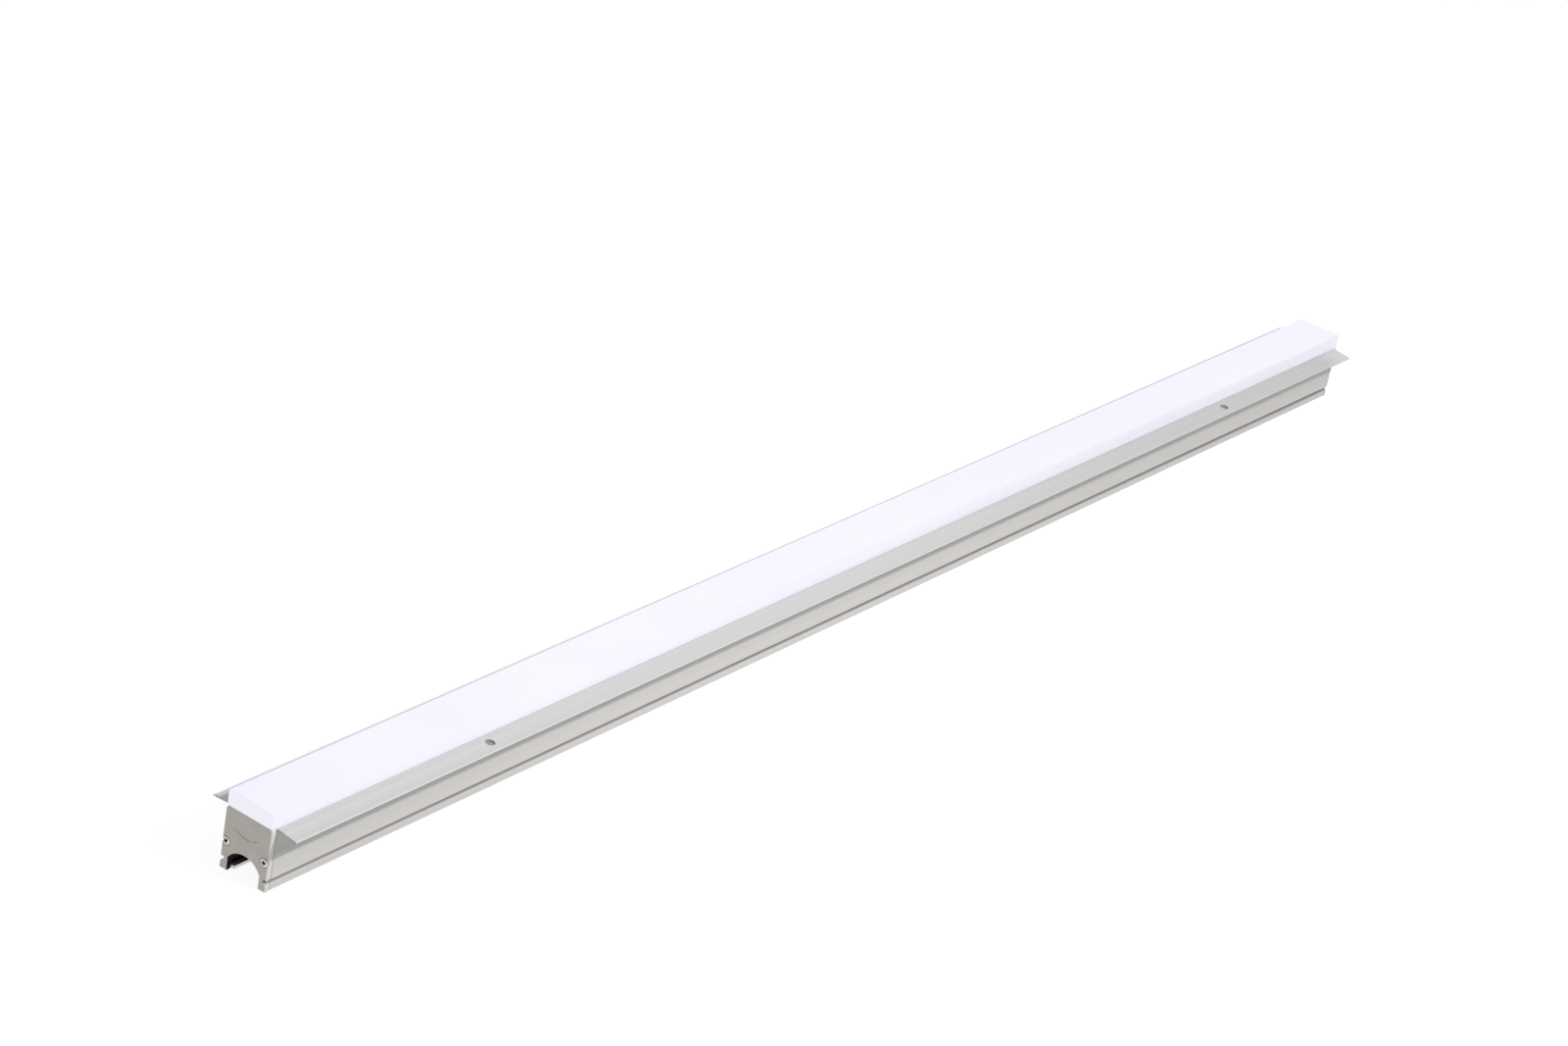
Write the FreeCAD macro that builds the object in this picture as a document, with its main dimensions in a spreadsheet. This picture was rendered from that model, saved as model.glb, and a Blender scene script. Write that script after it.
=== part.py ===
import FreeCAD, Part
import math
import os
import Sketcher

# Outdoor wall washer light: an aluminium extrusion with a milky cover, about a metre long.
# Frame: X runs along the light, Y across it, Z up. The origin is on the surface that the feet
# stand on, under the middle of the light. Left is -X and near is -Y.

doc = FreeCAD.newDocument("wall_washer_light")
sheet = doc.addObject("Spreadsheet::Sheet", "sizes")


# ---------------------------------------------------------------- sizes and their expressions

class Measure:
    """A size in millimetres, together with the sheet expression that gives it."""

    def __init__(self, value, text):
        self.value = value
        self.text = text

    def joined(self, other, sign, value):
        return Measure(value, f"({self.text} {sign} {measure(other).text})")

    def __add__(self, other):
        return self.joined(other, "+", self.value + measure(other).value)

    def __sub__(self, other):
        return self.joined(other, "-", self.value - measure(other).value)

    def __mul__(self, other):
        return self.joined(other, "*", self.value * measure(other).value)

    def __truediv__(self, other):
        return self.joined(other, "/", self.value / measure(other).value)

    def __radd__(self, other):
        return measure(other) + self

    def __rsub__(self, other):
        return measure(other) - self

    def __rmul__(self, other):
        return measure(other) * self

    def __neg__(self):
        return Measure(-self.value, f"(-1 * {self.text})")


def measure(item):
    """Any plain number as a Measure."""
    if isinstance(item, Measure):
        return item
    return Measure(float(item), str(item))


def root(item):
    """Square root of a Measure."""
    return Measure(math.sqrt(item.value), f"sqrt({item.text})")


sheet_row = [0]


def size(alias, value, meaning):
    """Write one driving dimension to the sheet and give it back as a Measure."""
    sheet_row[0] += 1
    row = sheet_row[0]
    sheet.set(f"A{row}", meaning)
    sheet.set(f"B{row}", str(value))
    sheet.setAlias(f"B{row}", alias)
    return Measure(float(value), f"sizes.{alias}")


# The whole light
overall_length = size("overall_length", 1000, "length over the cap plates")
body_width = size("body_width", 30, "width over the side walls")
body_height = size("body_height", 34.5, "feet to shoulder, where the cover sits")
wall = size("wall", 1.6, "side wall of the extrusion")

# Flanges
flange_reach = size("flange_reach", 12.5, "flange width beyond the side wall")
flange_drop = size("flange_drop", 1.4, "how far the flange droops at its tip")
flange_root = size("flange_root", 1.6, "flange thickness at the wall")
flange_tip = size("flange_tip", 1.0, "flange thickness at the tip")
flange_edge = size("flange_edge", 0.25, "broken edge along the tip")
flange_fillet = size("flange_fillet", 0.8, "fillet under the flange")
hole_diameter = size("hole_diameter", 4.8, "fixing holes in the flanges")
hole_spacing = size("hole_spacing", 700, "fixing holes, along the light")
hole_offset = size("hole_offset", 6, "fixing holes, from the side wall")

# Feet, clip grooves and wiring channel
groove_top = size("groove_top", 6.4, "height of the clip groove's upper face")
groove_depth = size("groove_depth", 2.2, "clip groove depth")
groove_back = size("groove_back", 0.9, "clip groove height at its back")
groove_mouth = size("groove_mouth", 2.8, "clip groove height at its mouth")
groove_wall = size("groove_wall", 1.5, "metal left behind the clip groove")
foot_edge = size("foot_edge", 0.4, "broken edge under the feet")
lip_reach = size("lip_reach", 2.7, "inward lip on each foot")
lip_height = size("lip_height", 1.8, "thickness of that lip")
channel_height = size("channel_height", 13.4, "ceiling of the wiring channel")
channel_corner = size("channel_corner", 1.4, "slope in the channel's upper corners")
web = size("web", 1.8, "thickness of the floor that carries the boards")

# Screw ports
port_offset = size("port_offset", 2.5, "screw axis from the side face")
port_bore = size("port_bore", 2.5, "bore of the screw ports")
port_wall = size("port_wall", 1.05, "metal round the bore")
port_slit = size("port_slit", 0.9, "slit along the top of each port")

# Rim that holds the cover
rim_width = size("rim_width", 2.4, "thickened wall under the cover")
rim_depth = size("rim_depth", 4.5, "height of that thick part")
seal_width = size("seal_width", 1.2, "silicone strip width")
seal_height = size("seal_height", 1.0, "silicone strip height")
seal_inset = size("seal_inset", 1.3, "middle of the strip from the side face")

# Cover
cover_inset = size("cover_inset", 0.2, "cover side from the side face")
cover_rise = size("cover_rise", 9, "cover height over the shoulder")
cover_wall = size("cover_wall", 2.0, "cover thickness")
cover_round = size("cover_round", 1.2, "rounding of the cover's outer edges")
cover_ledge = size("cover_ledge", 2.0, "height of the thick foot of the cover")
leg_gap = size("leg_gap", 0.2, "snap leg to rim")
leg_thickness = size("leg_thickness", 1.3, "snap leg thickness")
leg_relief = size("leg_relief", 1.0, "snap leg stops short of the gasket")
barb_reach = size("barb_reach", 0.6, "hook on the snap leg")
barb_height = size("barb_height", 1.5, "height of the hook")
barb_catch = size("barb_catch", 0.5, "upright face of the hook's tip")
barb_gap = size("barb_gap", 0.15, "hook to the rim's underside")

# End caps
cap_thickness = size("cap_thickness", 2.8, "cap plate")
cap_corner = size("cap_corner", 2.0, "rounded upper corners of the cap")
cap_edge = size("cap_edge", 0.3, "broken edge round the cap's face")
cap_leg = size("cap_leg", 4.65, "width of the cap's legs beside the arch")
arch_rise = size("arch_rise", 5.7, "height of the cable arch's round top")
arch_cover = size("arch_cover", 0.55, "arch top below the channel's ceiling")
spigot_reach = size("spigot_reach", 2.5, "spigot length inside the housing")
spigot_wall = size("spigot_wall", 1.5, "spigot rib thickness")
spigot_gap = size("spigot_gap", 0.4, "spigot to its neighbours")
gasket_thickness = size("gasket_thickness", 0.8, "gasket, pressed flat")
gasket_inset = size("gasket_inset", 0.3, "gasket edge in from the cap's outline")
mark_radius = size("mark_radius", 12, "radius of the scribed arc on the cap")
mark_half_span = size("mark_half_span", 7.5, "half width of the scribed arc")
mark_width = size("mark_width", 0.3, "line width of the scribed arc")
mark_depth = size("mark_depth", 0.15, "line depth of the scribed arc")
mark_drop = size("mark_drop", 12.5, "lowest point of the arc under the cap's top")

# Cap screws
head_diameter = size("head_diameter", 4.6, "screw head")
head_dome = size("head_dome", 0.5, "raised part of the head")
head_flat = size("head_flat", 2.8, "flat middle of the head")
head_seat = size("head_seat", 0.3, "countersink wider than the head")
shank_gap = size("shank_gap", 0.1, "screw shank to the port's bore")
shank_length = size("shank_length", 12, "screw length behind the plate's face")
shank_clearance = size("shank_clearance", 0.25, "screw shank to its hole in the cap")
recess_width = size("recess_width", 0.8, "arm width of the cross recess")
recess_span = size("recess_span", 2.6, "arm length of the cross recess")
recess_depth = size("recess_depth", 0.9, "depth of the cross recess")

# Boards and what is on them
board_count = 4
leds_per_board = 12
board_end_gap = size("board_end_gap", 12, "end of the boards to the grommet")
board_gap = size("board_gap", 2, "gap between boards")
board_thickness = size("board_thickness", 1.6, "LED board")
board_side_gap = size("board_side_gap", 0.4, "board edge to screw port")
board_corner = size("board_corner", 0.8, "board corners")
pad_thickness = size("pad_thickness", 0.5, "heat-conducting pad")
pad_margin = size("pad_margin", 1.0, "pad edge in from the board's edge")
led_side = size("led_side", 3.0, "LED package")
led_height = size("led_height", 0.7, "LED package height")
led_frame = size("led_frame", 0.35, "LED frame round its emitting window")
led_window_depth = size("led_window_depth", 0.15, "LED window below its frame")
terminal_length = size("terminal_length", 8, "terminal, along the board")
terminal_width = size("terminal_width", 6.4, "terminal, across the board")
terminal_height = size("terminal_height", 4.6, "terminal height")
terminal_edge = size("terminal_edge", 0.45, "broken edge round the terminal's top")
terminal_inset = size("terminal_inset", 1.0, "terminal from the board's end")
wire_entry = size("wire_entry", 1.8, "wire openings in the terminal")
wire_pitch = size("wire_pitch", 3.0, "distance between those openings")
wire_depth = size("wire_depth", 5.0, "depth of those openings")
link_length = size("link_length", 12, "board link")
link_width = size("link_width", 5.0, "board link width")
link_height = size("link_height", 2.4, "board link height")
link_foot = size("link_foot", 4.0, "soldered foot of the link")
link_lift = size("link_lift", 0.8, "link bridge over the gap")
chip_length = size("chip_length", 4.5, "current regulator")
chip_width = size("chip_width", 2.5, "current regulator width")
chip_height = size("chip_height", 1.5, "current regulator height")
chip_lead = size("chip_lead", 0.8, "regulator leads, beyond the body")
chip_lead_width = size("chip_lead_width", 1.2, "regulator lead width")
chip_lead_height = size("chip_lead_height", 0.3, "regulator lead thickness")
resistor_length = size("resistor_length", 2.0, "setting resistor")
resistor_width = size("resistor_width", 1.25, "setting resistor width")
resistor_height = size("resistor_height", 0.5, "setting resistor height")
resistor_shift = size("resistor_shift", 6.0, "resistor from its regulator")
surge_length = size("surge_length", 4.3, "surge diode")
surge_width = size("surge_width", 3.6, "surge diode width")
surge_height = size("surge_height", 2.3, "surge diode height")
surge_gap = size("surge_gap", 2.5, "surge diode from the terminal")

# Cable grommets
grommet_inset = size("grommet_inset", 25, "grommet axis from the housing's end")
grommet_bore = size("grommet_bore", 6.2, "bore for the supply cable")
grommet_neck = size("grommet_neck", 9.8, "grommet neck")
grommet_flange = size("grommet_flange", 13, "grommet flanges")
grommet_lower = size("grommet_lower", 1.6, "flange under the web")
grommet_upper = size("grommet_upper", 1.6, "flange over the web")
grommet_edge = size("grommet_edge", 0.6, "sloped edge of the lower flange")
grommet_fit = size("grommet_fit", 0.1, "neck to its hole, each side")

# Places that follow from the sizes
nought = measure(0)
half_body = body_width / 2
inner_face = half_body - wall
flange_end = half_body + flange_reach
housing_length = overall_length - (cap_thickness + gasket_thickness) * 2
housing_end = housing_length / 2
groove_floor = half_body - groove_depth
groove_heel = groove_top - groove_back
groove_lower_edge = groove_top - groove_mouth
foot_inner = groove_floor - groove_wall
lip_tip = foot_inner - lip_reach
web_top = channel_height + web
port_axis = half_body - port_offset
port_radius = port_bore / 2 + port_wall
port_height = channel_height + port_radius
port_top = port_height + port_radius
rim_face = half_body - rim_width
rim_bottom = body_height - rim_depth
seal_middle = half_body - seal_inset
cover_side = half_body - cover_inset
cover_top = body_height + cover_rise
leg_outer = rim_face - leg_gap
leg_inner = leg_outer - leg_thickness
barb_top = rim_bottom - barb_gap
barb_bottom = barb_top - barb_height
arch_half = half_body - cap_leg
arch_radius = (arch_half * arch_half + arch_rise * arch_rise) / (arch_rise * 2)
arch_centre = channel_height - arch_cover - arch_radius
shank_diameter = port_bore - shank_gap * 2
shank_hole = shank_diameter + shank_clearance * 2
head_cone = (head_diameter - shank_diameter) / 2
grommet_place = housing_end - grommet_inset
board_width = (port_axis - port_radius - board_side_gap) * 2
board_base = web_top + pad_thickness
board_top = board_base + board_thickness
row_length = (grommet_place - grommet_flange / 2 - board_end_gap) * 2
board_pitch = (row_length + board_gap) / board_count
board_length = board_pitch - board_gap
led_pitch = board_pitch / leds_per_board
side_track = (board_width + led_side) / 4


# ---------------------------------------------------------------- drawing helpers

parts = []
touching = 0.01


def sub_part(label):
    """A new body with its own label, which is also the name of its file."""
    body = doc.addObject("PartDesign::Body", label)
    body.Label = label
    body.AllowCompound = True
    parts.append(body)
    return body


def place(item, x=nought, y=nought, z=nought, turn=0):
    """Set a sub-part's placement, tied to the sheet, turned about Z by a number of degrees."""
    axis = FreeCAD.Vector(0, 0, 1)
    base = FreeCAD.Vector(x.value, y.value, z.value)
    item.Placement = FreeCAD.Placement(base, FreeCAD.Rotation(axis, turn))
    item.setExpression("Placement.Base.x", x.text)
    item.setExpression("Placement.Base.y", y.text)
    item.setExpression("Placement.Base.z", z.text)


def origin_part(body, role):
    """The body's own origin plane or axis with the given role."""
    return next(item for item in body.Origin.OriginFeatures if item.Role == role)


def sketch_on(body, name, plane, offset=None):
    """An empty sketch on an origin plane, moved along the plane's normal by an offset."""
    sketch = body.newObject("Sketcher::SketchObject", name)
    sketch.AttachmentSupport = [(origin_part(body, plane), "")]
    sketch.MapMode = "FlatFace"
    if offset is not None:
        sketch.setExpression("AttachmentOffset.Base.z", offset.text)
    return sketch


def bind(sketch, kind, *arguments, to):
    """Add a constraint with a value and tie that value to the sheet."""
    index = sketch.addConstraint(Sketcher.Constraint(kind, *arguments, to.value))
    name = f"tie{index}"
    sketch.renameConstraint(index, name)
    sketch.setExpression(f"Constraints.{name}", to.text)


def tie_point(sketch, geometry, end, across, up):
    """Hold a point at its distances from the sketch's origin."""
    for kind, axis, distance in (("DistanceX", -2, across), ("DistanceY", -1, up)):
        if distance.value == 0:
            sketch.addConstraint(Sketcher.Constraint("PointOnObject", geometry, end, axis))
        elif distance.value > 0:
            bind(sketch, kind, -1, 1, geometry, end, to=distance)
        else:
            bind(sketch, kind, geometry, end, -1, 1, to=-distance)


def vector(across, up):
    return FreeCAD.Vector(across.value, up.value, 0)


def outline(sketch, corners):
    """A closed outline of straight lines, with every corner tied to the sheet."""
    first = sketch.GeometryCount
    count = len(corners)
    for index in range(count):
        start = vector(*corners[index])
        end = vector(*corners[(index + 1) % count])
        sketch.addGeometry(Part.LineSegment(start, end))
    for index in range(count):
        following = first + (index + 1) % count
        sketch.addConstraint(Sketcher.Constraint("Coincident", first + index, 2, following, 1))
    for index, (across, up) in enumerate(corners):
        tie_point(sketch, first + index, 1, across, up)


def rectangle(sketch, left, low, right, high):
    outline(sketch, [(left, low), (right, low), (right, high), (left, high)])


def circle(sketch, across, up, diameter):
    """A circle tied by its centre and diameter."""
    shape = Part.Circle(vector(across, up), FreeCAD.Vector(0, 0, 1), diameter.value / 2)
    index = sketch.addGeometry(shape)
    tie_point(sketch, index, 3, across, up)
    bind(sketch, "Diameter", index, to=diameter)


def arc_over(sketch, half_span, ends_up, top_up, sign=1):
    """An arc symmetrical about the vertical axis, through its top and its two ends."""
    left = vector(-half_span, ends_up)
    right = vector(half_span, ends_up)
    top = vector(nought, top_up)
    index = sketch.addGeometry(Part.Arc(right, top, left))
    start, end = (1, 2) if sign > 0 else (2, 1)
    tie_point(sketch, index, start, half_span, ends_up)
    tie_point(sketch, index, end, -half_span, ends_up)
    return index


def pad(body, sketch, length, both_ways=False, backwards=False):
    feature = body.newObject("PartDesign::Pad", f"{sketch.Name}_pad")
    feature.Profile = sketch
    feature.SideType = "Symmetric" if both_ways else "One side"
    feature.Reversed = backwards
    feature.Length = length.value
    feature.setExpression("Length", length.text)
    sketch.Visibility = False
    return feature


def pocket(body, sketch, depth=None, backwards=False):
    """A pocket to a depth, or right through both ways when no depth is given."""
    feature = body.newObject("PartDesign::Pocket", f"{sketch.Name}_pocket")
    feature.Profile = sketch
    if depth is None:
        feature.SideType = "Symmetric"
        feature.Type = "ThroughAll"
    else:
        feature.Reversed = backwards
        feature.Length = depth.value
        feature.setExpression("Length", depth.text)
    sketch.Visibility = False
    return feature


def mirrored(body, originals, plane):
    feature = body.newObject("PartDesign::Mirrored", "mirrored")
    feature.Originals = originals
    feature.MirrorPlane = (origin_part(body, plane), [""])
    body.Tip = feature
    return feature


def repeated(body, originals, pitch, count):
    """Copies along X at a pitch, starting from the originals."""
    feature = body.newObject("PartDesign::LinearPattern", "repeated")
    feature.Originals = originals
    feature.Direction = (origin_part(body, "X_Axis"), [""])
    feature.Mode = "Spacing"
    feature.Offset = pitch.value
    feature.setExpression("Offset", pitch.text)
    feature.Occurrences = count
    body.Tip = feature
    return feature


def long_edges(body, places):
    """Names of the edges along X that pass through the given (across, up) places."""
    doc.recompute()
    spots = [(across.value, up.value) for across, up in places]
    names = []
    for number, edge in enumerate(body.Tip.Shape.Edges, 1):
        start, end = edge.Vertexes[0].Point, edge.Vertexes[-1].Point
        length = abs(start.x - end.x)
        along = length > touching and (start - end).Length < length + touching
        if along and any(math.dist((start.y, start.z), spot) < touching for spot in spots):
            names.append(f"Edge{number}")
    return names


def fillet_long_edges(body, places, radius):
    names = long_edges(body, places)
    base = body.Tip
    feature = body.newObject("PartDesign::Fillet", "fillet")
    feature.Base = (base, names)
    feature.Radius = radius.value
    feature.setExpression("Radius", radius.text)
    return feature


def chamfer_face(body, normal, distance):
    """Break the edges round the face that looks along a normal and lies furthest that way."""
    doc.recompute()
    faces = [(face.CenterOfMass.dot(normal), number)
             for number, face in enumerate(body.Tip.Shape.Faces, 1)
             if face.normalAt(0, 0).dot(normal) > 0.999]
    base = body.Tip
    feature = body.newObject("PartDesign::Chamfer", "broken_edge")
    feature.Base = (base, [f"Face{max(faces)[1]}"])
    feature.Size = distance.value
    feature.setExpression("Size", distance.text)
    return feature


def both_sides(corners):
    """The right-hand half of an outline, closed by its mirror image."""
    return corners + [(-across, up) for across, up in reversed(corners)]


# ---------------------------------------------------------------- housing

def make_housing():
    """The extrusion: flanges, feet, grooves, channel, board floor, screw ports and rims."""
    body = sub_part("housing")
    slope = flange_drop / flange_reach
    half = sketch_on(body, "half_section", "YZ_Plane")
    outline(half, [
        # wiring channel, from the middle of its ceiling down to the foot
        (nought, channel_height),
        (inner_face - channel_corner, channel_height),
        (inner_face, channel_height - channel_corner),
        (inner_face, groove_top + groove_wall + (inner_face - foot_inner)),
        (foot_inner, groove_top + groove_wall),
        (foot_inner, lip_height),
        (lip_tip, lip_height),
        (lip_tip, nought),
        # foot and clip groove, on the outside
        (half_body - foot_edge, nought),
        (half_body, foot_edge),
        (half_body, groove_lower_edge),
        (groove_floor, groove_heel),
        (groove_floor, groove_top),
        (half_body, groove_top),
        # flange, out along its underside and back along its top
        (half_body, body_height - flange_root),
        (flange_end - flange_edge, body_height - flange_drop - flange_tip),
        (flange_end, body_height - flange_drop - flange_tip + flange_edge),
        (flange_end, body_height - flange_drop - flange_edge),
        (flange_end - flange_edge, body_height - flange_drop + slope * flange_edge),
        (half_body, body_height),
        # shoulder with the seal's groove, rim and inner wall
        (seal_middle + seal_width / 2, body_height),
        (seal_middle + seal_width / 2, body_height - seal_height),
        (seal_middle - seal_width / 2, body_height - seal_height),
        (seal_middle - seal_width / 2, body_height),
        (rim_face, body_height),
        (rim_face, rim_bottom),
        (inner_face, rim_bottom),
        (inner_face, web_top),
        (nought, web_top),
    ])
    section = pad(body, half, housing_length, both_ways=True)
    boss = sketch_on(body, "port_boss", "YZ_Plane")
    circle(boss, port_axis, port_height, port_radius * 2)
    port = pad(body, boss, housing_length, both_ways=True)
    mirrored(body, [section, port], "XZ_Plane")
    under_flange = body_height - flange_root
    fillet_long_edges(body, [(half_body, under_flange), (-half_body, under_flange)], flange_fillet)

    bores = sketch_on(body, "port_bores", "YZ_Plane")
    for side in (port_axis, -port_axis):
        circle(bores, side, port_height, port_bore)
    pocket(body, bores)
    slits = sketch_on(body, "port_slits", "YZ_Plane")
    for side in (port_axis, -port_axis):
        left = side - port_slit / 2
        rectangle(slits, left, port_height, left + port_slit, port_top + port_wall)
    pocket(body, slits)

    holes = sketch_on(body, "flange_holes", "XY_Plane")
    for x in (hole_spacing / 2, hole_spacing / -2):
        for y in (half_body + hole_offset, -half_body - hole_offset):
            circle(holes, x, y, hole_diameter)
    pocket(body, holes)
    cables = sketch_on(body, "cable_holes", "XY_Plane")
    for x in (grommet_place, -grommet_place):
        circle(cables, x, nought, grommet_neck + grommet_fit * 2)
    pocket(body, cables)
    place(body)


# ---------------------------------------------------------------- end caps, gaskets, screws

def end_outline(inset):
    """The light's outline seen from its end, without the flanges, drawn in by an inset."""
    side = half_body - inset
    return both_sides([
        (side, inset),
        (side, groove_lower_edge - inset),
        (groove_floor - inset, groove_heel - inset),
        (groove_floor - inset, groove_top + inset),
        (side, groove_top + inset),
        (side, body_height - inset),
    ])


def cut_arch(body, half_width, radius):
    """The cable arch: a round top on two upright sides, open below."""
    spring = arch_centre + root(radius * radius - half_width * half_width)
    below = -lip_height
    sketch = sketch_on(body, "arch", "YZ_Plane")
    top = arc_over(sketch, half_width, spring, arch_centre + radius)
    first = sketch.GeometryCount
    stops = [vector(-half_width, spring), vector(-half_width, below),
             vector(half_width, below), vector(half_width, spring)]
    for start, end in zip(stops, stops[1:]):
        sketch.addGeometry(Part.LineSegment(start, end))
    joints = [(top, 2, first, 1), (first, 2, first + 1, 1),
              (first + 1, 2, first + 2, 1), (first + 2, 2, top, 1)]
    for joint in joints:
        sketch.addConstraint(Sketcher.Constraint("Coincident", *joint))
    bind(sketch, "Radius", top, to=radius)
    tie_point(sketch, first, 2, -half_width, below)
    tie_point(sketch, first + 1, 2, half_width, below)
    pocket(body, sketch)


def spigot_corners(grow):
    """Low and high corners of the cap's spigot, grown by a margin."""
    side = inner_face - spigot_gap + grow
    return -side, port_top + spigot_gap - grow, side, barb_bottom - spigot_gap + grow


def place_at_end(body, distance, side, y=nought, z=nought):
    """Put a sub-part at the left (-1) or right (1) end; the right one is turned half round."""
    place(body, distance * side, y, z, 0 if side < 0 else 180)


def make_end_cap(label, side):
    """A plate with the light's outline, a cable arch, two sunk screw holes and a spigot."""
    body = sub_part(label)
    plate = sketch_on(body, "plate", "YZ_Plane")
    outline(plate, end_outline(nought))
    pad(body, plate, cap_thickness, backwards=True)
    cut_arch(body, arch_half, arch_radius)
    top_edges = [(half_body, body_height), (-half_body, body_height)]
    fillet_long_edges(body, top_edges, cap_corner)
    chamfer_face(body, FreeCAD.Vector(-1, 0, 0), cap_edge)

    spigot = sketch_on(body, "spigot", "YZ_Plane")
    rectangle(spigot, *spigot_corners(nought))
    rectangle(spigot, *spigot_corners(-spigot_wall))
    pad(body, spigot, gasket_thickness + spigot_reach)

    holes = sketch_on(body, "screw_holes", "YZ_Plane", offset=-cap_thickness)
    for across in (port_axis, -port_axis):
        circle(holes, across, port_height, shank_hole)
    doc.recompute()
    drilled = body.newObject("PartDesign::Hole", "sunk_holes")
    drilled.Profile = holes
    drilled.Reversed = True
    drilled.DepthType = "ThroughAll"
    drilled.HoleCutType = "Countersink"
    drilled.HoleCutCustomValues = True
    drilled.HoleCutCountersinkAngle = 90
    for name, value in (("Diameter", shank_hole), ("HoleCutDiameter", head_diameter + head_seat)):
        setattr(drilled, name, value.value)
        drilled.setExpression(name, value.text)

    scribe = sketch_on(body, "scribed_arc", "YZ_Plane", offset=-cap_thickness)
    centre = body_height - mark_drop + mark_radius
    arcs = []
    for radius in (mark_radius, mark_radius - mark_width):
        ends = centre - root(radius * radius - mark_half_span * mark_half_span)
        arcs.append(arc_over(scribe, mark_half_span, ends, centre - radius, sign=-1))
        bind(scribe, "Radius", arcs[-1], to=radius)
    for end in (1, 2):
        points = [scribe.getPoint(arc, end) for arc in arcs]
        line = scribe.addGeometry(Part.LineSegment(*points))
        for arc, line_end in zip(arcs, (1, 2)):
            scribe.addConstraint(Sketcher.Constraint("Coincident", arc, end, line, line_end))
    pocket(body, scribe, mark_depth, backwards=True)
    place_at_end(body, housing_end + gasket_thickness, side)


def make_gasket(label, side):
    """A flat rubber sheet between the cap and the housing's end."""
    body = sub_part(label)
    sheet_outline = sketch_on(body, "sheet", "YZ_Plane")
    outline(sheet_outline, end_outline(gasket_inset))
    pad(body, sheet_outline, gasket_thickness)
    cut_arch(body, arch_half + gasket_inset, arch_radius + gasket_inset)
    window = sketch_on(body, "window", "YZ_Plane")
    rectangle(window, *spigot_corners(spigot_gap / 2))
    pocket(body, window)
    holes = sketch_on(body, "screw_holes", "YZ_Plane")
    for across in (port_axis, -port_axis):
        circle(holes, across, port_height, shank_hole)
    pocket(body, holes)
    place_at_end(body, housing_end + gasket_thickness, side)


def make_cap_screws(label, side):
    """Two raised countersunk screws with a cross recess, side by side in one cap."""
    body = sub_part(label)
    face = -cap_thickness
    profile = sketch_on(body, "screw_profile", "XY_Plane")
    outline(profile, [
        (face - head_dome, port_axis),
        (face - head_dome, port_axis + head_flat / 2),
        (face, port_axis + head_diameter / 2),
        (face + head_cone, port_axis + shank_diameter / 2),
        (face + shank_length, port_axis + shank_diameter / 2),
        (face + shank_length, port_axis),
    ])
    turned = body.newObject("PartDesign::Revolution", "turned")
    turned.Profile = profile
    turned.ReferenceAxis = (profile, [f"Edge{profile.GeometryCount}"])
    turned.Angle = 360
    profile.Visibility = False
    arm = recess_width / 2
    span = recess_span / 2
    cross = sketch_on(body, "cross_recess", "YZ_Plane", offset=face - head_dome)
    outline(cross, [
        (port_axis + across, up) for across, up in (
            (arm, arm), (arm, span), (-arm, span), (-arm, arm), (-span, arm), (-span, -arm),
            (-arm, -arm), (-arm, -span), (arm, -span), (arm, -arm), (span, -arm), (span, arm))
    ])
    recess = pocket(body, cross, recess_depth, backwards=True)
    mirrored(body, [turned, recess], "XZ_Plane")
    place_at_end(body, housing_end + gasket_thickness, side, z=port_height)


# ---------------------------------------------------------------- cover and seals

def make_cover():
    """The milky trough, with a snap leg down each side inside the housing."""
    body = sub_part("diffuser_cover")
    inner_side = cover_side - cover_wall
    trough = sketch_on(body, "trough", "YZ_Plane")
    outline(trough, both_sides([
        (inner_side, cover_top - cover_wall),
        (inner_side, body_height + cover_ledge + (inner_side - leg_inner)),
        (leg_inner, body_height + cover_ledge),
        (leg_inner, body_height),
        (cover_side, body_height),
        (cover_side, cover_top),
    ]))
    pad(body, trough, overall_length - cover_wall * 2, both_ways=True)
    top_edges = [(cover_side, cover_top), (-cover_side, cover_top)]
    fillet_long_edges(body, top_edges, cover_round)
    legs = sketch_on(body, "snap_legs", "YZ_Plane")
    leg = [
        (leg_inner, body_height),
        (leg_inner, barb_bottom),
        (leg_outer, barb_bottom),
        (leg_outer + barb_reach, barb_top - barb_catch),
        (leg_outer + barb_reach, barb_top),
        (leg_outer, barb_top),
        (leg_outer, body_height),
    ]
    outline(legs, leg)
    outline(legs, [(-across, up) for across, up in leg])
    pad(body, legs, housing_length - leg_relief * 2, both_ways=True)
    place(body)


def make_cover_end(label, side):
    """The plate glued on the end of the cover, flush with the cap's face."""
    body = sub_part(label)
    plate = sketch_on(body, "plate", "YZ_Plane")
    rectangle(plate, -cover_side, body_height, cover_side, cover_top)
    pad(body, plate, cover_wall)
    top_edges = [(cover_side, cover_top), (-cover_side, cover_top)]
    fillet_long_edges(body, top_edges, cover_round)
    place_at_end(body, overall_length / 2, side)


def make_seal(label, side):
    """A silicone strip in the groove of one shoulder."""
    strip = doc.addObject("Part::Box", label)
    strip.Label = label
    parts.append(strip)
    set_box(strip, housing_length, seal_width, seal_height)
    middle = seal_middle * side
    place(strip, -housing_end, middle - seal_width / 2, body_height - seal_height)


def set_box(box, length, width, height):
    for name, value in (("Length", length), ("Width", width), ("Height", height)):
        setattr(box, name, value.value)
        box.setExpression(name, value.text)


# ---------------------------------------------------------------- boards and electronics

def board_middle(number):
    """Where along the light the middle of a board lies."""
    return board_pitch * (number - (board_count - 1) / 2)


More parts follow.
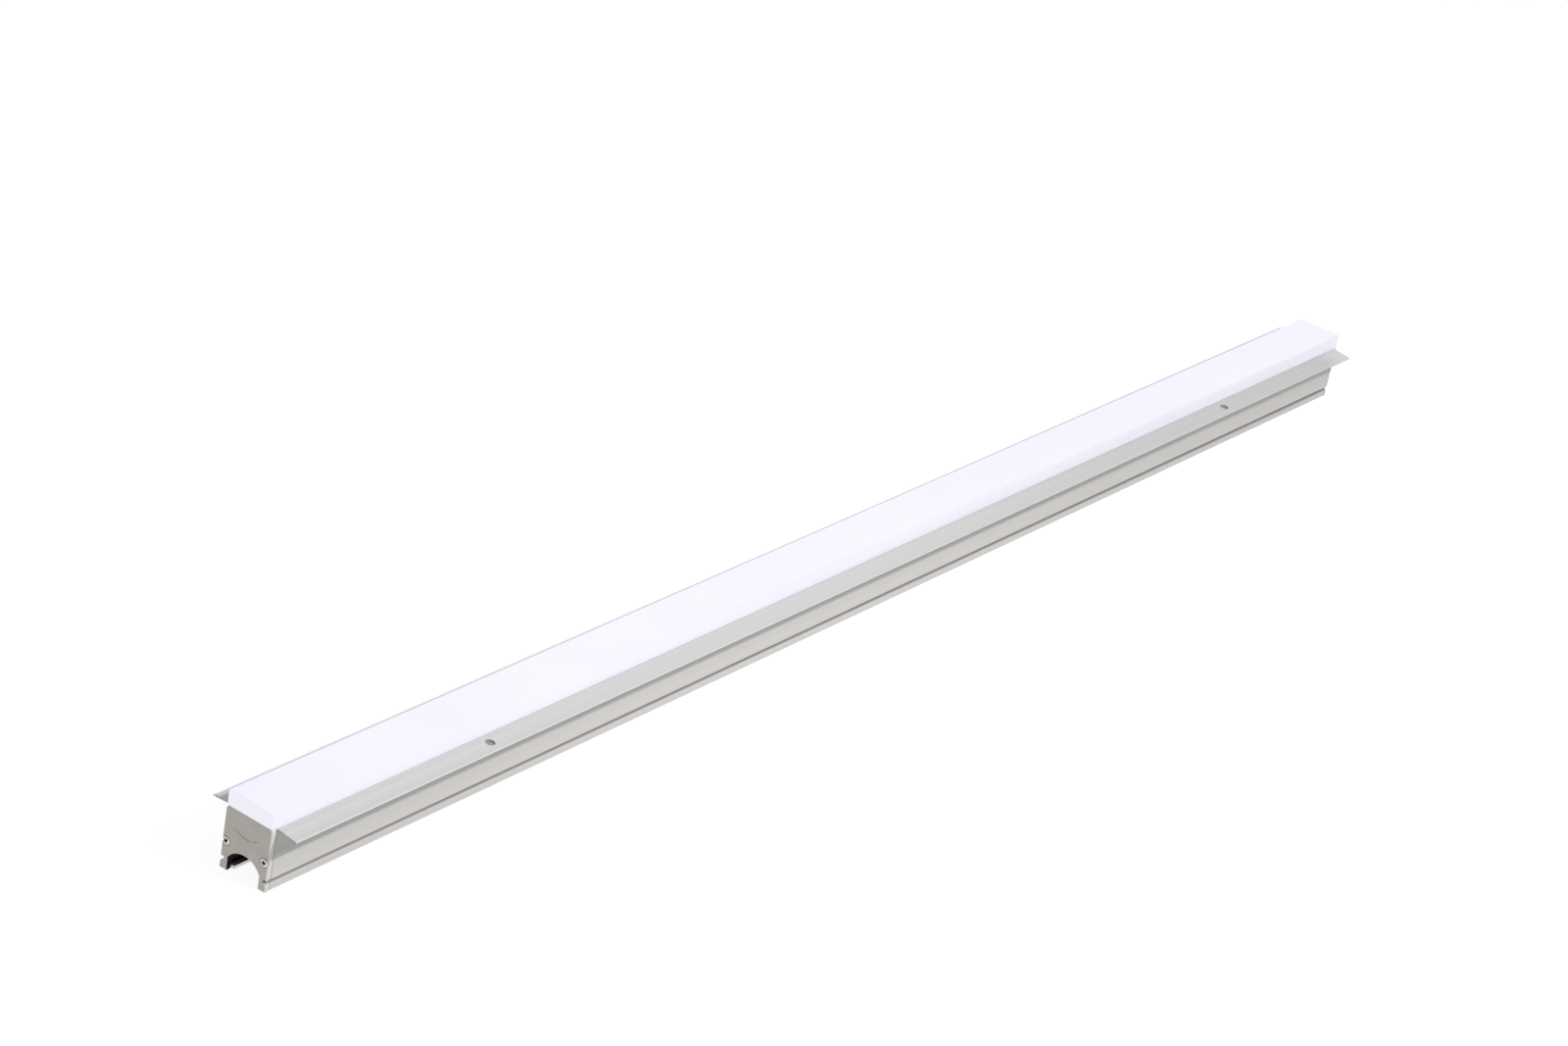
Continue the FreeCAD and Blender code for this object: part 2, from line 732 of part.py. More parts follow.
def make_board(number):
    body = sub_part(f"led_board_{number + 1}")
    plate = sketch_on(body, "plate", "XY_Plane")
    rectangle(plate, board_length / -2, board_width / -2, board_length / 2, board_width / 2)
    base = pad(body, plate, board_thickness)
    doc.recompute()
    upright = [f"Edge{index}" for index, edge in enumerate(base.Shape.Edges, 1)
               if abs(edge.tangentAt(edge.FirstParameter).z) > 0.99]
    rounded = body.newObject("PartDesign::Fillet", "corners")
    rounded.Base = (base, upright)
    rounded.Radius = board_corner.value
    rounded.setExpression("Radius", board_corner.text)
    place(body, x=board_middle(number), z=board_base)


def make_led_row(number):
    """The LEDs of one board: square packages, each with a sunk window for its phosphor."""
    body = sub_part(f"led_row_{number + 1}")
    start = led_pitch * (leds_per_board - 1) / -2
    half = led_side / 2
    package = sketch_on(body, "package", "XY_Plane")
    rectangle(package, start - half, -half, start + half, half)
    block = pad(body, package, led_height)
    half = led_side / 2 - led_frame
    window = sketch_on(body, "window", "XY_Plane", offset=led_height)
    rectangle(window, start - half, -half, start + half, half)
    recess = pocket(body, window, led_window_depth)
    repeated(body, [block, recess], led_pitch, leds_per_board)
    place(body, x=board_middle(number), z=board_top)


def make_thermal_pad(number):
    label = f"thermal_pad_{number + 1}"
    box = doc.addObject("Part::Box", label)
    box.Label = label
    parts.append(box)
    length = board_length - pad_margin * 2
    width = board_width - pad_margin * 2
    set_box(box, length, width, pad_thickness)
    place(box, board_middle(number) - length / 2, width / -2, web_top)


def make_link(number):
    """A bridge from one board to the next, on two soldered feet."""
    body = sub_part(f"board_link_{number + 1}")
    side = sketch_on(body, "side", "XZ_Plane")
    outline(side, both_sides([
        (link_length / 2 - link_foot, link_lift),
        (link_length / 2 - link_foot, nought),
        (link_length / 2, nought),
        (link_length / 2, link_height),
    ]))
    pad(body, side, link_width, both_ways=True)
    place(body, board_middle(number + 0.5), side_track, board_top)


def make_terminal(label, side):
    """A two-pole terminal with a wire opening for each pole."""
    body = sub_part(label)
    block = sketch_on(body, "block", "XY_Plane")
    rectangle(block, terminal_length / -2, terminal_width / -2,
              terminal_length / 2, terminal_width / 2)
    pad(body, block, terminal_height)
    chamfer_face(body, FreeCAD.Vector(0, 0, 1), terminal_edge)
    entries = sketch_on(body, "wire_entries", "YZ_Plane", offset=terminal_length / -2)
    for across in (wire_pitch / 2, wire_pitch / -2):
        circle(entries, across, terminal_height / 2, wire_entry)
    pocket(body, entries, wire_depth, backwards=True)
    inwards = terminal_inset + terminal_length / 2
    place_at_end(body, row_length / 2 - inwards, side, side_track, board_top)


def make_regulators():
    """Two current regulators to a board, with leads at both ends of each."""
    body = sub_part("current_regulators")
    pitch = board_pitch / 2
    count = board_count * 2
    start = pitch * (count - 1) / -2
    case = sketch_on(body, "case", "XY_Plane")
    rectangle(case, start - chip_length / 2, chip_width / -2,
              start + chip_length / 2, chip_width / 2)
    block = pad(body, case, chip_height)
    lead = sketch_on(body, "leads", "XY_Plane")
    reach = chip_length / 2 + chip_lead
    side = chip_lead_width / 2
    rectangle(lead, start - reach, -side, start + reach, side)
    leads = pad(body, lead, chip_lead_height)
    repeated(body, [block, leads], pitch, count)
    place(body, y=-side_track, z=board_top)


def make_resistors():
    """One setting resistor beside each regulator."""
    body = sub_part("setting_resistors")
    pitch = board_pitch / 2
    count = board_count * 2
    start = pitch * (count - 1) / -2 + resistor_shift
    chip = sketch_on(body, "chip", "XY_Plane")
    rectangle(chip, start - resistor_length / 2, resistor_width / -2,
              start + resistor_length / 2, resistor_width / 2)
    block = pad(body, chip, resistor_height)
    repeated(body, [block], pitch, count)
    place(body, y=-side_track, z=board_top)


def make_surge_diode():
    box = doc.addObject("Part::Box", "surge_diode")
    box.Label = "surge_diode"
    parts.append(box)
    set_box(box, surge_length, surge_width, surge_height)
    x = terminal_inset + terminal_length + surge_gap - row_length / 2
    place(box, x, side_track - surge_width / 2, board_top)


# ---------------------------------------------------------------- cable grommets

def make_grommet(label, side):
    """A rubber grommet clipped in the board floor, over the wiring channel."""
    body = sub_part(label)
    ring = sketch_on(body, "ring", "XZ_Plane")
    bore = grommet_bore / 2
    rim = grommet_flange / 2
    neck = grommet_neck / 2
    outline(ring, [
        (bore, -grommet_lower),
        (rim - grommet_edge, -grommet_lower),
        (rim, grommet_edge - grommet_lower),
        (rim, nought),
        (neck, nought),
        (neck, web),
        (rim, web),
        (rim, web + grommet_upper),
        (bore, web + grommet_upper),
    ])
    turned = body.newObject("PartDesign::Revolution", "turned")
    turned.Profile = ring
    turned.ReferenceAxis = (ring, ["V_Axis"])
    turned.Angle = 360
    ring.Visibility = False
    place(body, x=grommet_place * side, z=channel_height)


# ---------------------------------------------------------------- build and export

make_housing()
make_cover()
for name, side in (("left", -1), ("right", 1)):
    make_end_cap(f"{name}_end_cap", side)
    make_gasket(f"{name}_cap_gasket", side)
    make_cap_screws(f"{name}_cap_screws", side)
    make_cover_end(f"{name}_cover_end", side)
    make_grommet(f"{name}_cable_grommet", side)
make_seal("near_cover_seal", -1)
make_seal("far_cover_seal", 1)
for number in range(board_count):
    make_thermal_pad(number)
    make_board(number)
    make_led_row(number)
for number in range(board_count - 1):
    make_link(number)
make_terminal("feed_terminal", -1)
make_terminal("through_terminal", 1)
make_regulators()
make_resistors()
make_surge_diode()

doc.recompute()
faults = [item.Label for item in doc.Objects if "Invalid" in item.State or "Error" in item.State]
if faults:
    raise RuntimeError(f"failed to build: {faults}")
for part in parts:
    if part.Shape.isNull() or not part.Shape.isValid() or not part.Shape.Solids:
        raise RuntimeError(f"bad shape: {part.Label}")

os.makedirs("parts", exist_ok=True)
for part in parts:
    part.Shape.exportStep(os.path.join("parts", f"{part.Label}.step"))
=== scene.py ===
import math

import bpy
from mathutils import Matrix, Vector


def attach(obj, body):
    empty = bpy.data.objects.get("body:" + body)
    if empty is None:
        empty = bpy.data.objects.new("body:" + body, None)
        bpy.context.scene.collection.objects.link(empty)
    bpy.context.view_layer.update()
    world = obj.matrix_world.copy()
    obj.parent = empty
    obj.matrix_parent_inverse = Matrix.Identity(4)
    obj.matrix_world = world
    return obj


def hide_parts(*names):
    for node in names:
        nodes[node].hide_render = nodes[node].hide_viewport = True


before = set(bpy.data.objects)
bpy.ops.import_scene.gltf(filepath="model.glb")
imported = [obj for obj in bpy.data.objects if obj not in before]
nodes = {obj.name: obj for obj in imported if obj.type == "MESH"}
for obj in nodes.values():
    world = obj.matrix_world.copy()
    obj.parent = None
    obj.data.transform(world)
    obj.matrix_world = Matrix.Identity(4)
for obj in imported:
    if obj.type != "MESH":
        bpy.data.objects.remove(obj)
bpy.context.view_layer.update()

# --- Housing -----------------------------------------------------------------------------------
# One aluminium extrusion, clear anodised and sawn to length, with the side flanges, the clip
# grooves, the feet with the wiring channel between them and the rims for the cover. The die leaves
# fine lines along it, the saw a matt face at each end, and the fixing holes are deburred.
# Light and shade are painted into its colour: painted highlights on the flange edges, the hole
# rims, the far flange's outer band and the near flange's right end; painted shadow under the
# flanges, beside the cover, in the clip grooves and in and round the holes; painted shade on the
# walls and towards the right end; near black painted shade inside the wiring channel; and a
# painted reflection on the lip in it.


class Wire:
    """A socket of a material's nodes. Arithmetic on wires and numbers adds Math nodes."""

    def __init__(self, socket):
        self.socket = socket

    def node(self, kind, settings, values, output=0):
        """Add a node: settings first, then a number, a colour or a wire for each socket."""
        tree = self.socket.id_data
        node = tree.nodes.new(kind)
        for name, value in settings.items():
            setattr(node, name, value)
        for name, value in values.items():
            if isinstance(value, Wire):
                tree.links.new(value.socket, node.inputs[name])
            else:
                node.inputs[name].default_value = value
        return Wire(node.outputs[output])

    def math(self, operation, *others):
        values = dict(enumerate((self, *others)))
        return self.node("ShaderNodeMath", {"operation": operation}, values)

    def __add__(self, other):
        return self.math("ADD", other)

    def __sub__(self, other):
        return self.math("SUBTRACT", other)

    def __mul__(self, other):
        return self.math("MULTIPLY", other)

    def __rsub__(self, other):
        return self * -1 + other

    def __pow__(self, other):
        return self.math("POWER", other)

    def __abs__(self):
        return self.math("ABSOLUTE")

    __radd__ = __add__
    __rmul__ = __mul__

    def axis(self, letter):
        """One coordinate of a place or a direction."""
        return self.node("ShaderNodeSeparateXYZ", {}, {0: self}, "XYZ".index(letter))

    def ramp(self, start, end):
        """0 up to start and 1 from end on, with a smooth rise between."""
        settings = {"interpolation_type": "SMOOTHSTEP"}
        return self.node("ShaderNodeMapRange", settings, {0: self, 1: start, 2: end})

    def stretched(self, x, y, z):
        """The place, scaled for a pattern that is finer along some axes than others."""
        return self.node("ShaderNodeMapping", {}, {0: self, "Scale": (x, y, z)})

    def noise(self, scale, detail=3.0):
        values = {"Vector": self, "Scale": scale, "Detail": detail}
        return self.node("ShaderNodeTexNoise", {}, values)

    def blend(self, first, second):
        """The first colour where this wire is 0, the second where it is 1."""
        settings = {"data_type": "RGBA"}
        return self.node("ShaderNodeMix", settings, {0: self, 6: first, 7: second}, 2)


def colour(red, green, blue):
    """A colour given in screen levels from 0 to 255, as the shader needs it."""
    return (*(((level / 255 + 0.055) / 1.055) ** 2.4 for level in (red, green, blue)), 1.0)


class Finish:
    """A material: its shader's constant sockets, and the wires into those that vary."""

    def __init__(self, name, **constants):
        self.material = bpy.data.materials.new(name)
        self.material.use_nodes = True
        self.tree = self.material.node_tree
        self.shader = self.tree.nodes["Principled BSDF"]
        for socket, value in constants.items():
            self.shader.inputs[socket.replace("_", " ")].default_value = value
        self.place = self.source("ShaderNodeTexCoord", "Object")
        self.x, self.y, self.z = (self.place.axis(letter) for letter in "XYZ")
        self.normal = self.source("ShaderNodeNewGeometry", "Normal")

    def source(self, kind, output):
        return Wire(self.tree.nodes.new(kind).outputs[output])

    def paint(self, base, roughness, height=None, depth=0.0):
        """Feed the shader. Height, with its depth in metres, gives the surface its relief."""
        self.feed("Base Color", base)
        self.feed("Roughness", roughness)
        if height is not None:
            relief = height.node("ShaderNodeBump", {}, {"Distance": depth, "Height": height})
            self.feed("Normal", relief)

    def feed(self, socket, wire):
        self.tree.links.new(wire.socket, self.shader.inputs[socket])

    def coat(self, *names):
        """Give this finish to CAD pieces, by name."""
        for name in names:
            for slot in nodes[name].material_slots:
                slot.link = "OBJECT"
                slot.material = self.material


hole_x, hole_y = 0.35, 0.021
wall_face, flange_tip = 0.015, 0.0275
groove_floor, groove_low, groove_high = 0.0128, 0.0036, 0.0064
channel_side, channel_top, lip_top = 0.0134, 0.0134, 0.0018
# A grey for painted shadow on the metal, and near black for painted shade inside the wiring
# channel.
shadow_grey, channel_shade_black = colour(150, 148, 145), colour(18, 17, 15)

anodised = Finish("anodised_extrusion")
die_lines = anodised.place.stretched(3, 2600, 2600).noise(1.0, 2.0)
broad_lines = anodised.place.stretched(1.5, 420, 420).noise(1.0, 3.0)
sheen = anodised.place.noise(14.0, 2.0)
saw_lines = anodised.place.stretched(1, 900, 5200).noise(1.0, 2.0)
sawn = abs(anodised.normal.axis("X")).ramp(0.8, 0.95)
lines = die_lines * (1 - sawn) + saw_lines * sawn
across = abs(anodised.y)
off_hole_x, off_hole_y = abs(anodised.x) - hole_x, across - hole_y
from_hole = (off_hole_x * off_hole_x + off_hole_y * off_hole_y) ** 0.5
# Painted shade: the wall of each fixing hole and a ring round it.
hole_shade = 1 - from_hole.ramp(0.00275, 0.0029)
# Painted highlight round each deburred hole rim, and along the flange's outer edge below.
deburred_highlight = (1 - from_hole.ramp(0.0031, 0.0034)) * 0.4
flange_edge_highlight = across.ramp(flange_tip - 0.0004, flange_tip - 0.00015)
# Painted light: the far flange's outer band is near white, lighter towards the right.
far_band_light = anodised.y.ramp(flange_tip - 0.002, flange_tip - 0.001)
far_band_light_tone = anodised.x.ramp(-0.30, 0.10).blend(colour(232, 231, 229), colour(255, 255, 253))
# Painted light: the near flange is lighter at its right end.
right_end_light = anodised.x.ramp(0.470, 0.492) * across.ramp(wall_face + 0.0001, wall_face + 0.0003)
near_side = anodised.y * -1
# Painted shade: the near flange is darker beside the cover.
shade_by_cover = near_side.ramp(wall_face, wall_face + 0.0001) * (1 - near_side.ramp(0.0152, 0.0215))
on_wall = across.ramp(wall_face - 0.0002, wall_face - 0.0001)
# Painted shadow on the walls under the flanges, from 19 mm up, weaker higher up.
shadow_under_flange = on_wall * anodised.z.ramp(0.0188, 0.0204)
shadow_under_flange = shadow_under_flange * (1 - anodised.normal.axis("Z").ramp(0.1, 0.3))
shadow_under_flange = shadow_under_flange * (1 - 0.35 * anodised.z.ramp(0.0215, 0.0250))
upright = abs(anodised.normal.axis("Y")).ramp(0.85, 0.95) * (1 - shadow_under_flange)
# Painted shade: darker towards the right end, and on the upright walls higher up and near the left
# end.
painted_shade = 0.10 * anodised.x.ramp(0.0, 0.25) + upright * (
    0.12 * anodised.z.ramp(0.006, 0.018) + 0.10 * (1 - anodised.x.ramp(-0.40, -0.20)))
in_channel = 1 - across.ramp(channel_side + 0.00002, channel_side + 0.00006)
in_channel = in_channel * (1 - anodised.z.ramp(channel_top + 0.00002, channel_top + 0.00006))
on_lip = 1 - anodised.z.ramp(lip_top - 0.0001, lip_top + 0.0001)
# Painted shade in the clip grooves.
groove_shade = across.ramp(groove_floor - 0.0003, groove_floor - 0.0001)
groove_shade = groove_shade * (1 - across.ramp(wall_face - 0.0002, wall_face))
groove_shade = groove_shade * anodised.z.ramp(groove_low + 0.0001, groove_low + 0.0008)
groove_shade = groove_shade * (1 - anodised.z.ramp(groove_high + 0.0001, groove_high + 0.0003))

silver = broad_lines.ramp(0.3, 0.7).blend(colour(184, 182, 178), colour(190, 188, 184))
# Painted highlight: the flange's outer edges and the deburred hole rims are painted lighter.
silver = (flange_edge_highlight * 0.3).math("MAXIMUM", deburred_highlight).blend(silver, colour(212, 211, 209))
# Painted light at the near flange's right end.
silver = (right_end_light * 0.5).blend(silver, colour(222, 220, 216))
# Painted light on the far flange's outer band.
silver = far_band_light.blend(silver, far_band_light_tone)
# Painted shade towards the right end and on the walls.
silver = painted_shade.blend(silver, shadow_grey)
# Painted shade on the near flange beside the cover.
silver = (shade_by_cover * 0.25).blend(silver, colour(160, 157, 158))
# Painted shadow under the flanges.
silver = (shadow_under_flange * 0.47).blend(silver, shadow_grey)
# Painted shade: the wall of each fixing hole and a ring round it are painted dark.
silver = hole_shade.blend(silver, colour(138, 136, 136))
# Painted shade: the inside of the wiring channel, above its lip, is near black and fully metallic.
shaded = in_channel * (1 - on_lip) * (1 - sawn)
silver = shaded.blend(silver, channel_shade_black)
# Painted reflection: the lip inside the wiring channel is painted white.
silver = (in_channel * on_lip).blend(silver, colour(255, 255, 252))
# Painted shade in the clip grooves.
silver = (groove_shade * 0.9).blend(silver, colour(124, 122, 119))
matt = 0.42 + 0.10 * broad_lines + 0.06 * sheen + 0.10 * sawn - 0.05 * flange_edge_highlight
anodised.paint(silver, matt, lines, 0.00002)
anodised.feed("Metallic", 0.12 + 0.88 * shaded)
anodised.coat("housing")

# --- Cap gaskets -------------------------------------------------------------------------------
# A sheet of light grey silicone rubber, punched to the cap's outline and pressed flat between the
# cap and the sawn end of the housing.

arch_half, arch_top = 0.0104, 0.0136

rubber = Finish("gasket_rubber")
speckle = rubber.place.noise(2200.0, 3.0)
bloom = rubber.place.noise(160.0, 2.0)
# Painted shade: inside the arch of the wiring channel the gasket is near black.
outside = abs(rubber.y).ramp(0.0112, 0.0118).math("MAXIMUM", rubber.z.ramp(arch_top, 0.0140))
light_grey = bloom.ramp(0.35, 0.7).blend(colour(196, 194, 189), colour(206, 204, 199))
rubber.paint(outside.blend(colour(13, 12, 11), light_grey), 0.72 + 0.12 * speckle, speckle, 0.00005)
rubber.coat("left_cap_gasket", "right_cap_gasket")

# --- End caps ----------------------------------------------------------------------------------
# Aluminium plates cut to the light's outline, blasted and anodised like the housing but greyer.
# The edge all round is broken and has a painted highlight, and an arc is scribed across the face.
# Light and shade are painted too: lighter sides, shade in the arc and a glint on it, shade round
# the screws and in the notches, and near black shade inside the arch.

screw_y, screw_z, cap_face = 0.0125, 0.0157, 0.5
arc_centre_z, arc_radius = 0.034, 0.01185


def from_screws(finish):
    """How far a place is from the axis of the nearest cap screw."""
    sideways, upwards = abs(finish.y) - screw_y, finish.z - screw_z
    return (sideways * sideways + upwards * upwards) ** 0.5


blasted = Finish("blasted_cap")
grit = blasted.place.noise(3800.0, 2.0)
cloud = blasted.place.noise(120.0, 3.0)
facing_out = abs(blasted.normal.axis("X"))
edge = facing_out.ramp(0.2, 0.6) * (1 - facing_out.ramp(0.85, 0.98))
above_arc_centre = blasted.z - arc_centre_z
from_arc = (blasted.y * blasted.y + above_arc_centre * above_arc_centre) ** 0.5
from_arc = abs(from_arc - arc_radius)
# Painted shade along the scribed arc.
arc_shade = (1 - from_arc.ramp(0.00014, 0.00036)) * (1 - blasted.z.ramp(0.0244, 0.0247))
# Painted glint: a tiny bright dot on the scribed arc.
glint_y, glint_z = blasted.y + 0.0030, blasted.z - 0.0223
arc_glint = 1 - ((glint_y * glint_y + glint_z * glint_z) ** 0.5).ramp(0.0002, 0.0004)
# Painted shade in a ring round each screw head.
countersink_shade = from_screws(blasted).ramp(0.0022, 0.0023)
countersink_shade = countersink_shade * (1 - from_screws(blasted).ramp(0.0025, 0.0028))
in_arch = 1 - abs(blasted.y).ramp(arch_half, arch_half + 0.0002)
in_arch = in_arch * (1 - blasted.z.ramp(arch_top - 0.0002, arch_top))
# Painted shade in the notches of the cap's sides.
notch_shade = abs(blasted.y).ramp(0.0115, 0.0117)
notch_shade = notch_shade * (1 - abs(blasted.y).ramp(wall_face - 0.0002, wall_face))
notch_shade = notch_shade * blasted.z.ramp(groove_low + 0.0001, groove_low + 0.0008)
notch_shade = notch_shade * (1 - blasted.z.ramp(groove_high + 0.0003, groove_high + 0.0006))
on_side = 1 - facing_out.ramp(0.05, 0.2)
shaded = in_arch * (1 - facing_out.ramp(0.7, 0.9))
cap_grey = cloud.ramp(0.3, 0.7).blend(colour(181, 177, 167), colour(186, 182, 173))
# Painted highlight on the broken edge all round.
cap_grey = (edge * 0.5).blend(cap_grey, colour(208, 206, 201))
# Painted shade round the screw heads.
cap_grey = (countersink_shade * 0.6).blend(cap_grey, colour(82, 79, 74))
# Painted shade in the scribed arc.
cap_grey = (arc_shade * 0.5).blend(cap_grey, colour(104, 101, 95))
# Painted glint on the scribed arc.
cap_grey = arc_glint.blend(cap_grey, colour(236, 236, 226))
# Painted light: the cap's sides are painted lighter than its face.
cap_grey = on_side.blend(cap_grey, colour(193, 191, 187))
# Painted shade in the notches.
cap_grey = (notch_shade * on_side).blend(cap_grey, colour(136, 133, 128))
# Painted shade: the cap's faces inside the arch are near black and fully metallic.
cap_grey = shaded.blend(cap_grey, channel_shade_black)
blasted.paint(cap_grey, 0.50 + 0.10 * grit - 0.12 * edge, grit, 0.00001)
blasted.feed("Metallic", 0.12 + 0.88 * shaded)
blasted.coat("left_end_cap", "right_end_cap")

# --- Cap screws --------------------------------------------------------------------------------
# Two stainless screws in each cap, with a raised countersunk head and a cross recess. They are cold
# formed, and turn into the housing's two screw ports. One is modelled, then copied four times.


def from_corners(name, corners):
    """Start a mesh as a chain of edges through the given places."""
    bpy.ops.object.select_all(action="DESELECT")
    bpy.ops.mesh.primitive_plane_add(size=0.001)
    piece = bpy.context.object
    piece.name = piece.data.name = name
    bpy.ops.object.mode_set(mode="EDIT")
    bpy.ops.mesh.select_mode(type="VERT")
    bpy.ops.mesh.merge(type="CENTER")
    bpy.ops.transform.translate(value=corners[0])
    for before, after in zip(corners, corners[1:]):
        step = Vector(after) - Vector(before)
        bpy.ops.mesh.extrude_region_move(TRANSFORM_OT_translate={"value": step})
    bpy.ops.mesh.select_all(action="SELECT")
    return piece


def settle(piece):
    """Leave edit mode with doubles merged, normals outwards and soft faces shaded smooth."""
    bpy.ops.mesh.select_all(action="SELECT")
    bpy.ops.mesh.remove_doubles(threshold=0.000002)
    bpy.ops.mesh.normals_make_consistent(inside=False)
    bpy.ops.object.mode_set(mode="OBJECT")
    bpy.ops.object.select_all(action="DESELECT")
    piece.select_set(True)
    bpy.context.view_layer.objects.active = piece
    bpy.ops.object.shade_smooth_by_angle(angle=math.radians(30))


def hand_over(piece, finish, slot, *replaced):
    """Paint a finished piece and put it in the place of its CAD pieces."""
    piece.data.materials.append(finish.material)
    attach(piece, "root")
    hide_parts(*replaced)


side_view = (
    (-0.00050, 0.0), (-0.00050, 0.0006), (-0.00043, 0.0012), (-0.00029, 0.0017), (-0.00010, 0.0021),
    (0.0, 0.00228), (0.00008, 0.0023), (0.00118, 0.0012), (0.0115, 0.00115), (0.0120, 0.0007),
    (0.0120, 0.0))
screw = from_corners("screw", [(depth, 0, radius) for depth, radius in side_view])
bpy.ops.mesh.spin(steps=36, angle=math.tau, center=(0, 0, 0), axis=(1, 0, 0))
settle(screw)
arm_size, arm_taper = (0.0030, 0.0012, 0.0038), (1, 0.6, 0.35)
for turn_of_arm in (0, 90):
    bpy.ops.object.select_all(action="DESELECT")
    bpy.ops.mesh.primitive_cube_add(size=1)
    arm = bpy.context.object
    bpy.ops.object.mode_set(mode="EDIT")
    bpy.ops.transform.resize(value=arm_size)
    bpy.ops.mesh.select_all(action="DESELECT")
    bpy.ops.object.mode_set(mode="OBJECT")
    for face in arm.data.polygons:
        face.select = face.normal.x > 0.5
    bpy.ops.object.mode_set(mode="EDIT")
    bpy.ops.transform.resize(value=arm_taper)
    bpy.ops.mesh.select_all(action="SELECT")
    bpy.ops.transform.rotate(
        value=math.radians(turn_of_arm), orient_axis="X", center_override=(0, 0, 0))
    settle(arm)
    bpy.context.view_layer.objects.active = screw
    cut = screw.modifiers.new("recess", "BOOLEAN")
    cut.operation = "DIFFERENCE"
    cut.solver = "EXACT"
    cut.object = arm
    bpy.ops.object.modifier_apply(modifier=cut.name)
    bpy.data.objects.remove(arm)

steel = Finish("stainless_screw", Metallic=0.75)
turned = steel.place.noise(2500.0, 2.0)
walls = 1 - abs(steel.normal.axis("X")).ramp(0.6, 0.85)
sunk = 1 - abs(steel.x).ramp(cap_face + 0.0001, cap_face + 0.0002)
recess = walls.math("MAXIMUM", sunk) * (1 - from_screws(steel).ramp(0.0018, 0.0019))
head_rim_shade = from_screws(steel).ramp(0.00205, 0.00225)
steel_tone = turned.ramp(0.3, 0.7).blend(colour(226, 225, 219), colour(238, 237, 231))
# Painted shade: a dark ring round the edge of each head.
steel_tone = (head_rim_shade * 0.6).blend(steel_tone, colour(120, 118, 112))
# Painted shade: the cross recess is painted near black.
steel_tone = recess.blend(steel_tone, colour(34, 32, 29))
steel.paint(steel_tone, 0.30 + 0.14 * turned + 0.3 * recess, turned, 0.00001)

for name, side in (("left", -1), ("right", 1)):
    pair = []
    for across_at, start_turn in ((-screw_y, 12), (screw_y, 38)):
        bpy.ops.object.select_all(action="DESELECT")
        copy = screw.copy()
        copy.data = screw.data.copy()
        bpy.context.collection.objects.link(copy)
        copy.select_set(True)
        bpy.context.view_layer.objects.active = copy
        bpy.ops.object.mode_set(mode="EDIT")
        bpy.ops.mesh.select_all(action="SELECT")
        bpy.ops.transform.rotate(
            value=math.radians(start_turn), orient_axis="X", center_override=(0, 0, 0))
        if side > 0:
            bpy.ops.transform.rotate(value=math.pi, orient_axis="Z", center_override=(0, 0, 0))
        bpy.ops.transform.translate(value=(cap_face * side, across_at, screw_z))
        bpy.ops.object.mode_set(mode="OBJECT")
        pair.append(copy)
    bpy.ops.object.select_all(action="DESELECT")
    for copy in pair:
        copy.select_set(True)
    bpy.context.view_layer.objects.active = pair[0]
    bpy.ops.object.join()
    pair[0].name = pair[0].data.name = f"{name}_cross_recess_screws"
    hand_over(pair[0], steel, "screw_steel", f"{name}_cap_screws")
bpy.data.objects.remove(screw)

# --- Boards and their heat-conducting pads -----------------------------------------------------
# Four aluminium-core boards in a line with white solder resist, each pressed on a grey silicone
# pad that carries the heat into the housing's floor.

pad_rubber = Finish("grey_silicone_pad")
filler = pad_rubber.place.noise(1800.0, 3.0)
pad_grey = filler.ramp(0.3, 0.7).blend(colour(118, 122, 128), colour(134, 138, 144))
pad_rubber.paint(pad_grey, 0.7 + 0.2 * filler)
pad_rubber.coat(*(f"thermal_pad_{number}" for number in range(1, 5)))

resist = Finish("white_solder_resist")
tracks = resist.place.stretched(40, 900, 1).noise(1.0, 0.0).ramp(0.48, 0.52)
weave = resist.place.noise(900.0, 2.0)
top_side = resist.normal.axis("Z").ramp(0.5, 0.9)
resist_white = (tracks * 0.5).blend(colour(236, 238, 236), colour(222, 226, 222))
resist_white = top_side.blend(colour(168, 170, 166), resist_white)
resist.paint(resist_white, 0.35 + 0.1 * weave, tracks, 0.00003)
resist.coat(*(f"led_board_{number}" for number in range(1, 5)))

# --- LEDs --------------------------------------------------------------------------------------
# Small white packages soldered to the boards. The sunk window of each is filled with yellow
# phosphor in clear silicone.

window_floor, package_top = 0.01788, 0.01794

phosphor = Finish("led_package")
facing_up = phosphor.normal.axis("Z").ramp(0.6, 0.9)
window = (1 - phosphor.z.ramp(window_floor, package_top)) * facing_up
grains = phosphor.place.noise(5200.0, 2.0)
yellow = grains.blend(colour(233, 214, 96), colour(245, 228, 128))
phosphor.paint(window.blend((0.83, 0.83, 0.81, 1), yellow), 0.45 - 0.25 * window + 0.05 * grains)
phosphor.coat(*(f"led_row_{number}" for number in range(1, 5)))

# --- Terminals and links -----------------------------------------------------------------------
# Moulded white nylon: a two-pole terminal at each end of the row, and a bridge over each gap
# between boards. All are soldered to the boards.

nylon = Finish("white_nylon")
flow = nylon.place.stretched(300, 900, 900).noise(1.0, 3.0)
draft = nylon.place.noise(2600.0, 2.0)
ivory = flow.ramp(0.3, 0.7).blend(colour(226, 224, 216), colour(235, 233, 226))
nylon.paint(ivory, 0.42 + 0.12 * draft, draft, 0.00002)
nylon.coat("feed_terminal", "through_terminal", "board_link_1", "board_link_2", "board_link_3")

# --- Current regulators, setting resistors and surge diode -------------------------------------
# Moulded black chips with tinned leads low on their sides.

lead_top = 0.01756

